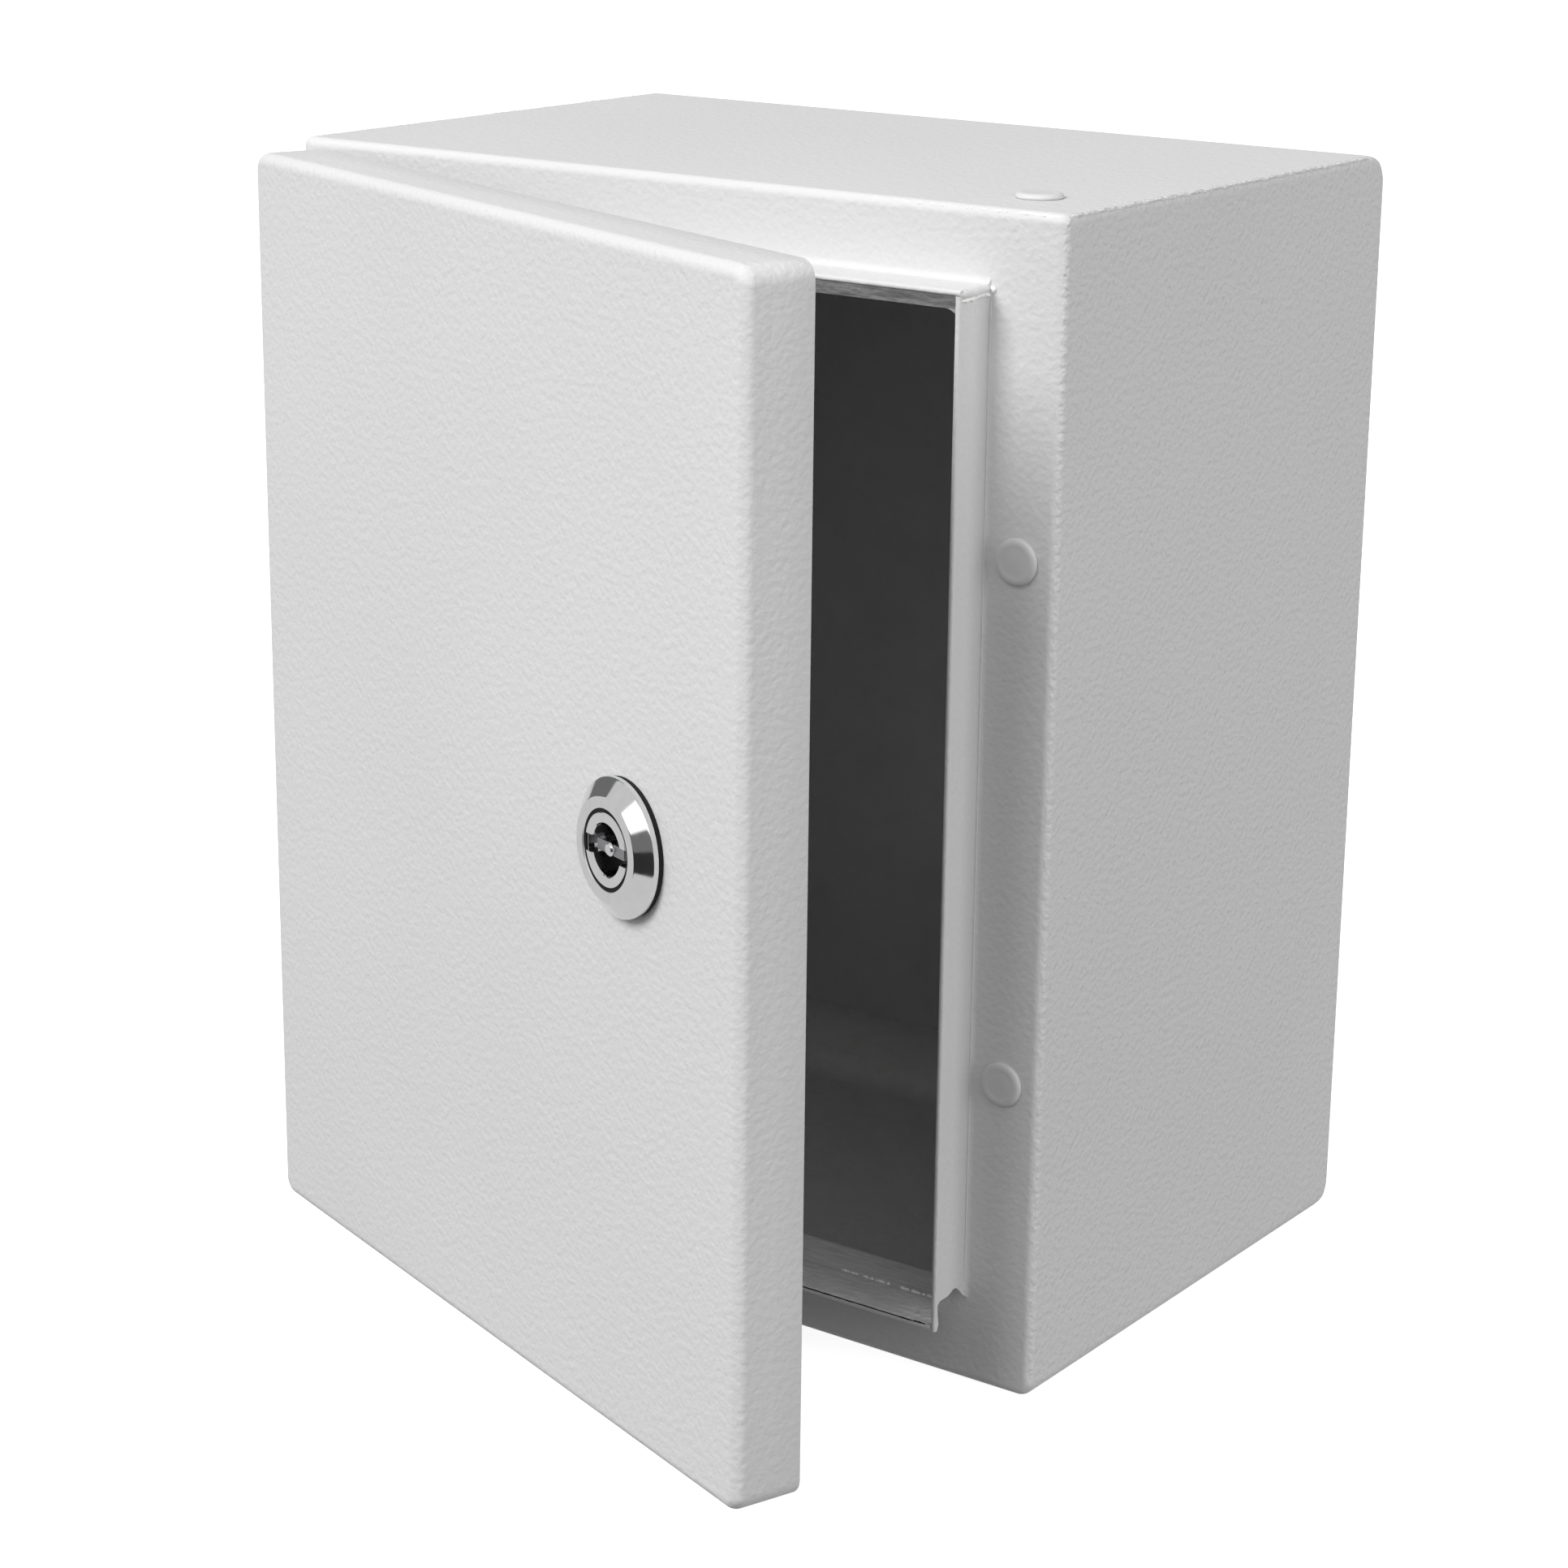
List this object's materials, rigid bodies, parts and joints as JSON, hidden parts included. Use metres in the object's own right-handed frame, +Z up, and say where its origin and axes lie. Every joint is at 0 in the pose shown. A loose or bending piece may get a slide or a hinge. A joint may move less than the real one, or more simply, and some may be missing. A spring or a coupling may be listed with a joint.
{
  "type": "electrical enclosure",
  "caption": "Small sheet-steel wall cabinet for electrical gear, with a left-hinged pan door, cam lock, mounting plate, blanking plugs and earthing studs.",
  "frame": {"origin": "centre of the four wall-fixing holes, on the rear face", "axes": "+Y into the wall, so the door faces -Y; +Z up; +X to the right of someone facing the door"},
  "size_m": [0.2, 0.2142, 0.2513],
  "materials": {
    "cabinet_paint": "light grey structured powder coat, semi-matt",
    "galvanised_steel": "galvanised sheet, faint spangle",
    "zinc_plated_steel": "bright zinc plate",
    "copper_plated_stud": "copper-plated weld stud",
    "plug_plastic": "light grey moulded plastic, satin",
    "spring_steel": "dark phosphated spring steel",
    "hinge_steel": "zinc-plated steel, satin",
    "pin_steel": "bright ground steel",
    "gasket_foam": "black closed-cell foam, matt",
    "lock_chrome": "polished nickel-chrome die casting",
    "seal_rubber": "black rubber, matt",
    "cam_steel": "zinc-plated steel"
  },
  "bodies": {
    "cabinet": {"body_wrap": "cabinet_paint", "side_panel_right": "cabinet_paint", "side_panel_left": "cabinet_paint", "sill_angle": "cabinet_paint", "mounting_plate": "galvanised_steel", "plate_studs": "zinc_plated_steel", "plate_spacers": "zinc_plated_steel", "plate_washers": "zinc_plated_steel", "plate_nuts": "zinc_plated_steel", "body_earth_stud": "copper_plated_stud", "body_earth_washers": "zinc_plated_steel", "body_earth_nut": "zinc_plated_steel", "flange_plug_upper": "plug_plastic", "flange_plug_lower": "plug_plastic", "top_plug": "plug_plastic", "hinge_screws": "zinc_plated_steel", "hinge_washers": "zinc_plated_steel", "hinge_nuts": "zinc_plated_steel", "pin_clips": "spring_steel", "hinge_bracket_upper": "hinge_steel", "hinge_bracket_lower": "hinge_steel", "hinge_pin_upper": "pin_steel", "hinge_pin_lower": "pin_steel"},
    "door": {"door_panel": "cabinet_paint", "door_gasket": "gasket_foam", "door_earth_stud": "copper_plated_stud", "door_earth_washers": "zinc_plated_steel", "door_earth_nut": "zinc_plated_steel", "lock_housing": "lock_chrome", "lock_seal": "seal_rubber", "lock_washer": "zinc_plated_steel", "lock_nut": "zinc_plated_steel", "hinge_leaf_upper": "hinge_steel", "hinge_leaf_lower": "hinge_steel"},
    "lock": {"lock_insert": "lock_chrome", "lock_bit": "lock_chrome", "lock_cam": "cam_steel", "cam_washer": "zinc_plated_steel", "cam_screw": "zinc_plated_steel"}
  },
  "joints": [
    {"name": "door_hinge", "type": "hinge", "parent": "cabinet", "child": "door", "pos_m": [-0.093, -0.1425, 0], "axis": [0, 0, -1], "range_deg": [-20, 95]},
    {"name": "lock_turn", "type": "hinge", "parent": "door", "child": "lock", "pos_m": [0.04586, -0.20102, 0.0045], "axis": [-0.342, -0.9397, 0], "range_deg": [0, 90]}
  ]
}
